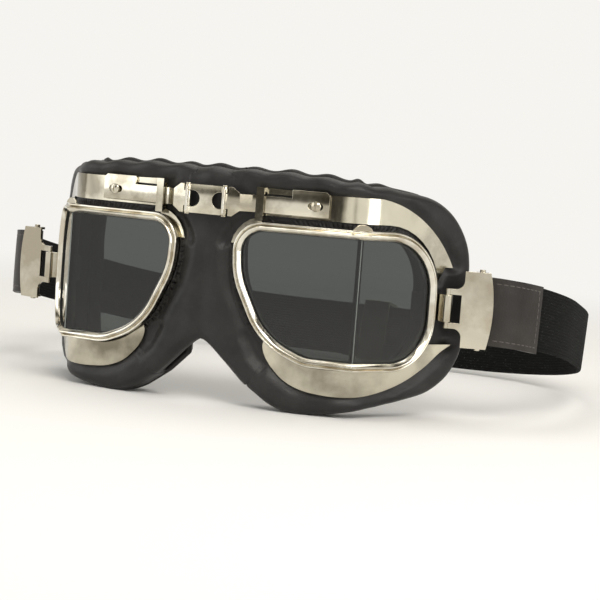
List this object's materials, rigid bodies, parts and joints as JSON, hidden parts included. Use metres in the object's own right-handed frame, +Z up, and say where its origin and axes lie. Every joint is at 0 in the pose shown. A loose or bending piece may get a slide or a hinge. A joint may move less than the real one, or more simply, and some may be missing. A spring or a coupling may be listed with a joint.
{
  "type": "split-lens goggles",
  "caption": "Split-lens goggles: chromed eyepieces of bent flat panes on a hinged bridge, a padded leather mask, T-shaped strap brackets and an elastic strap with a rear slider.",
  "frame": {"origin": "on the table under the middle of the bounding box", "axes": "+X to the wearer's left, -Y out of the front of the lenses, +Y back past the wearer, +Z up"},
  "size_m": [0.2326, 0.2012, 0.0881],
  "materials": {
    "chrome": "polished chrome plate",
    "plate": "satin chrome plate with fine rubbing marks",
    "steel": "bright steel",
    "ring": "dark lacquered brass",
    "glass": "clear laminated glass, slightly grey",
    "seal": "thin black gasket",
    "leather": "matt dark brown-black leather with fine grain",
    "plush": "short black plush over foam",
    "elastic": "woven black elastic with pale flecks"
  },
  "bodies": {
    "bridge": {"bridge_link": "chrome", "left_hinge_pin": "steel", "right_hinge_pin": "steel", "nose_saddle": "leather"},
    "left_arm": {"left_arm": "chrome"},
    "right_arm": {"right_arm": "chrome"},
    "left_eye": {"left_brow_plate": "plate", "left_cheek_plate": "plate", "left_rim": "chrome", "left_front_lens": "glass", "left_side_lens": "glass", "left_glass_seal": "seal", "left_glass_ring": "ring", "left_divider": "steel", "left_rim_clip": "chrome", "left_lug": "steel", "left_clamp_screw": "steel", "left_mask_pad": "leather", "left_face_cushion": "plush"},
    "right_eye": {"right_brow_plate": "plate", "right_cheek_plate": "plate", "right_rim": "chrome", "right_front_lens": "glass", "right_side_lens": "glass", "right_glass_seal": "seal", "right_glass_ring": "ring", "right_divider": "steel", "right_rim_clip": "chrome", "right_lug": "steel", "right_clamp_screw": "steel", "right_mask_pad": "leather", "right_face_cushion": "plush"},
    "left_strap": {"left_bracket": "plate", "left_strap_pin": "steel", "left_strap_tab": "leather", "left_elastic": "elastic"},
    "right_strap": {"right_bracket": "plate", "right_strap_pin": "steel", "right_strap_tab": "leather", "right_elastic": "elastic"},
    "slider": {"rear_slider": "plate"}
  },
  "joints": [
    {"name": "left_fold", "type": "hinge", "parent": "bridge", "child": "left_arm", "pos_m": [0.0075, -0.0994, 0.0761], "axis": [0, 0, 1], "range_deg": [-15, 15], "deforming": ["nose_saddle"]},
    {"name": "right_fold", "type": "hinge", "parent": "bridge", "child": "right_arm", "pos_m": [-0.0075, -0.0994, 0.0761], "axis": [0, 0, 1], "range_deg": [-15, 15]},
    {"name": "left_width", "type": "slide", "parent": "left_arm", "child": "left_eye", "axis": [0.994, 0.1097, 0], "range_m": [-0.002, 0.0014]},
    {"name": "right_width", "type": "slide", "parent": "right_arm", "child": "right_eye", "axis": [-0.994, 0.1097, 0], "range_m": [-0.002, 0.0014]},
    {"name": "left_strap_swing", "type": "hinge", "parent": "left_eye", "child": "left_strap", "pos_m": [0.08483, -0.06372, 0.0427], "axis": [0, 0, 1], "range_deg": [-15, 15]},
    {"name": "right_strap_swing", "type": "hinge", "parent": "right_eye", "child": "right_strap", "pos_m": [-0.08483, -0.06372, 0.0427], "axis": [0, 0, 1], "range_deg": [-15, 15]},
    {"name": "slider_shift", "type": "slide", "parent": "left_strap", "child": "slider", "axis": [1, 0, 0], "range_m": [-0.01, 0.01]}
  ],
  "couplings": [
    {"joint": "right_fold", "follows": "left_fold", "ratio": -1},
    {"joint": "left_strap_swing", "follows": "left_fold", "ratio": -1},
    {"joint": "right_strap_swing", "follows": "left_fold", "ratio": 1}
  ]
}
